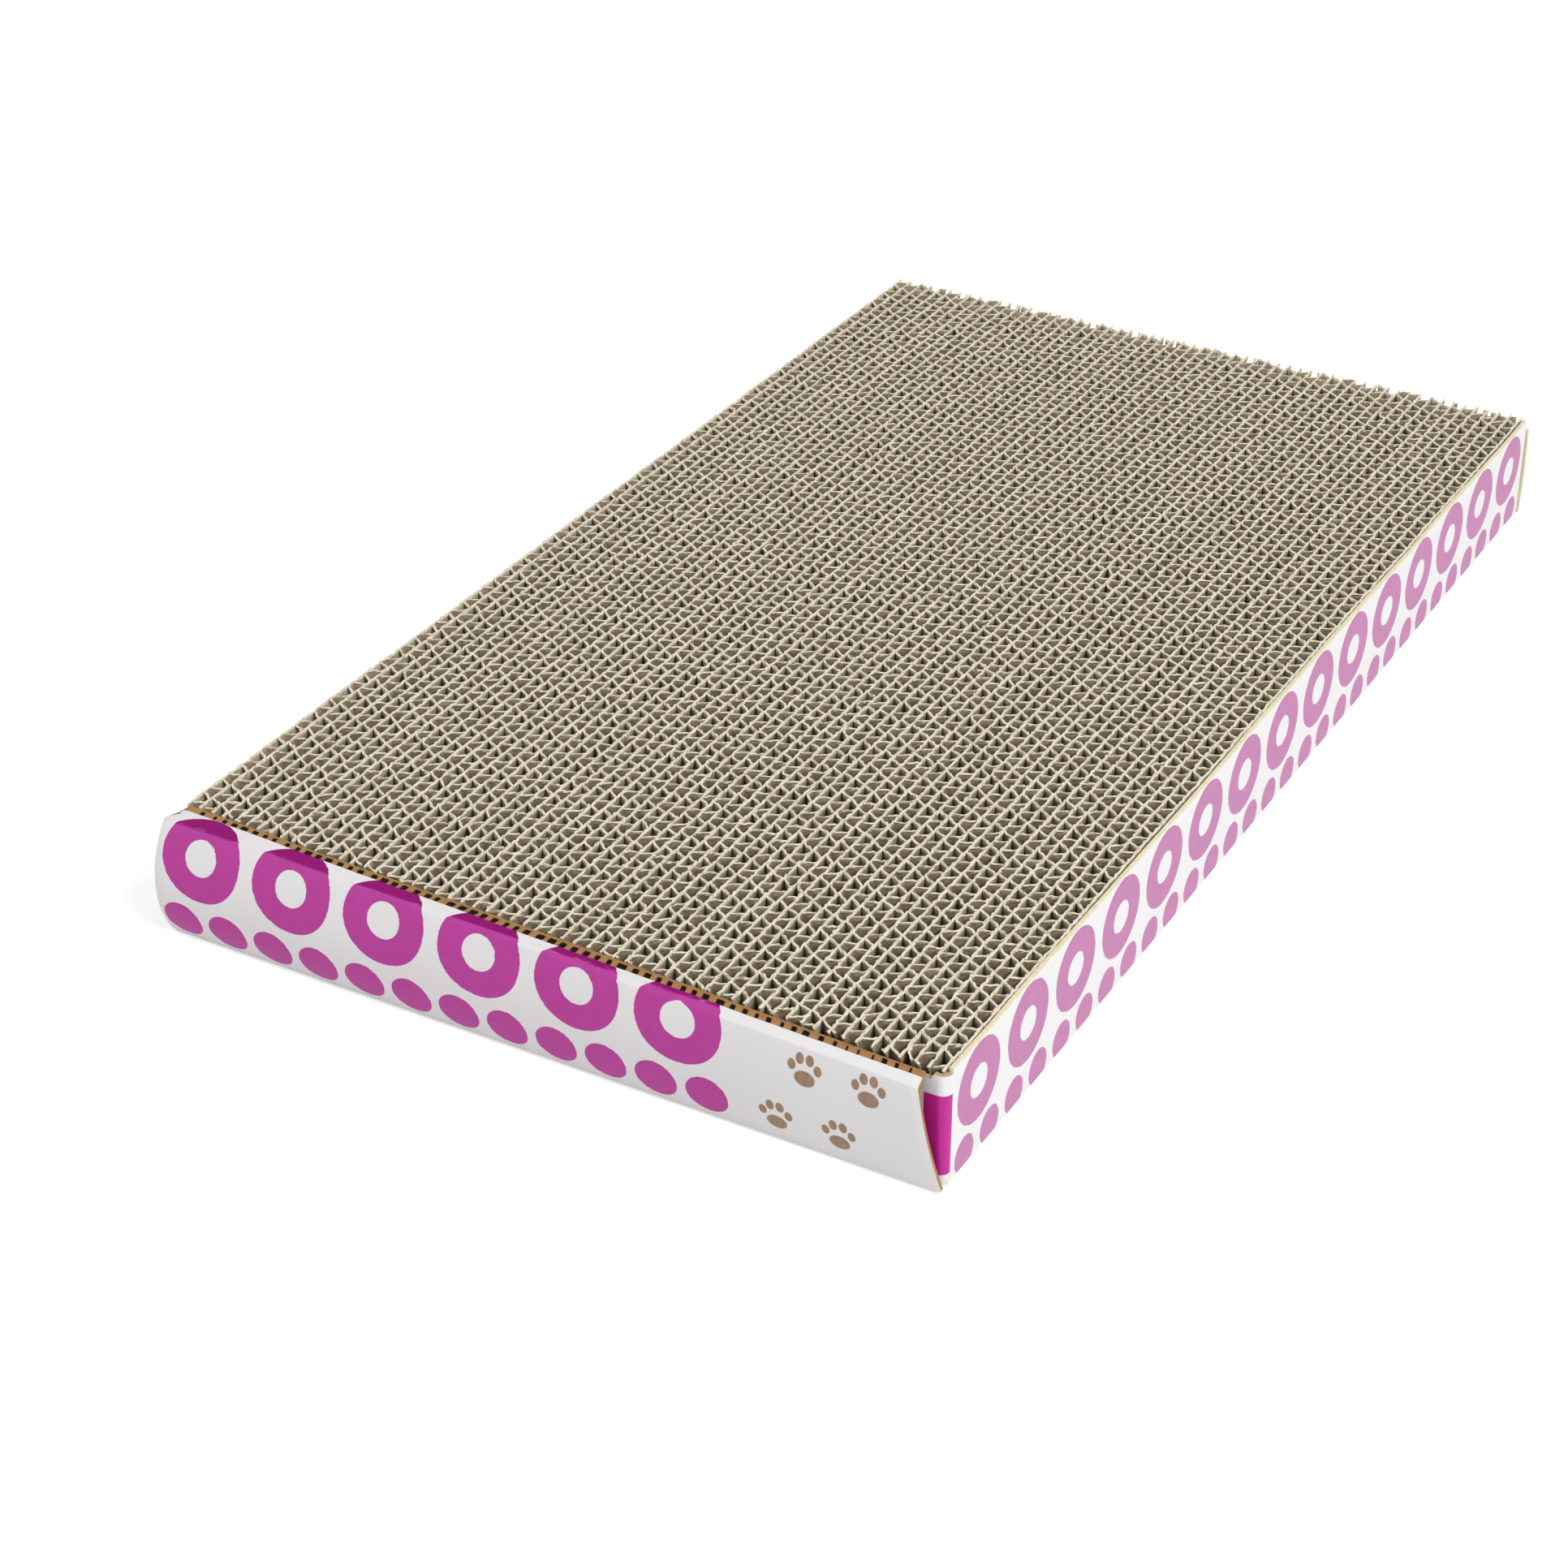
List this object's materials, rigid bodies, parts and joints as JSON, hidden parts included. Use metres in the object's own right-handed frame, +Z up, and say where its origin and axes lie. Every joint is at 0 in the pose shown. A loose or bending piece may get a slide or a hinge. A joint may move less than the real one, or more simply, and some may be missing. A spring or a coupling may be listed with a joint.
{
  "type": "cardboard cat scratcher",
  "caption": "Low rectangular cat scratcher: a pad of upright fluted paper strips lying in a printed folded cardboard tray with a bowed front end flap.",
  "frame": {"origin": "centre of the tray's footprint on the table, under the floor panel", "axes": "+X to the right across the width, +Y from the front flap towards the back flap, +Z up"},
  "size_m": [0.254, 0.4664, 0.0381],
  "materials": {
    "printed_board": "matt white coated facing with magenta flexo print",
    "kraft_board": "uncoated brown board",
    "pad_paper": "uncoated recycled paper with pale, fuzzy cut edges"
  },
  "bodies": {
    "tray": {"tray_floor": "kraft_board", "left_wall": "printed_board", "right_wall": "printed_board", "front_left_tab": "printed_board", "front_right_tab": "printed_board", "back_left_tab": "printed_board", "back_right_tab": "printed_board", "back_flap": "printed_board"},
    "flap": {"front_flap": "printed_board"},
    "pad": {"pad_bundle_01": "pad_paper", "pad_bundle_02": "pad_paper", "pad_bundle_03": "pad_paper", "pad_bundle_04": "pad_paper", "pad_bundle_05": "pad_paper", "pad_bundle_06": "pad_paper", "pad_bundle_07": "pad_paper", "pad_bundle_08": "pad_paper", "pad_bundle_09": "pad_paper", "pad_bundle_10": "pad_paper", "pad_bundle_11": "pad_paper", "pad_bundle_12": "pad_paper", "pad_bundle_13": "pad_paper", "pad_bundle_14": "pad_paper", "pad_bundle_15": "pad_paper", "pad_bundle_16": "pad_paper", "pad_bundle_17": "pad_paper", "pad_bundle_18": "pad_paper", "pad_bundle_19": "pad_paper", "pad_bundle_20": "pad_paper", "pad_bundle_21": "pad_paper", "pad_bundle_22": "pad_paper", "pad_bundle_23": "pad_paper", "pad_bundle_24": "pad_paper", "pad_bundle_25": "pad_paper", "pad_bundle_26": "pad_paper", "pad_bundle_27": "pad_paper", "pad_bundle_28": "pad_paper", "pad_bundle_29": "pad_paper", "pad_bundle_30": "pad_paper"}
  },
  "joints": [
    {"name": "flap_hinge", "type": "hinge", "parent": "tray", "child": "flap", "pos_m": [0, -0.2294, 0.0008], "axis": [1, 0, 0], "range_deg": [0, 60]},
    {"name": "pad_lift", "type": "slide", "parent": "tray", "child": "pad", "axis": [0, 0, 1], "range_m": [0, 0.06]}
  ]
}
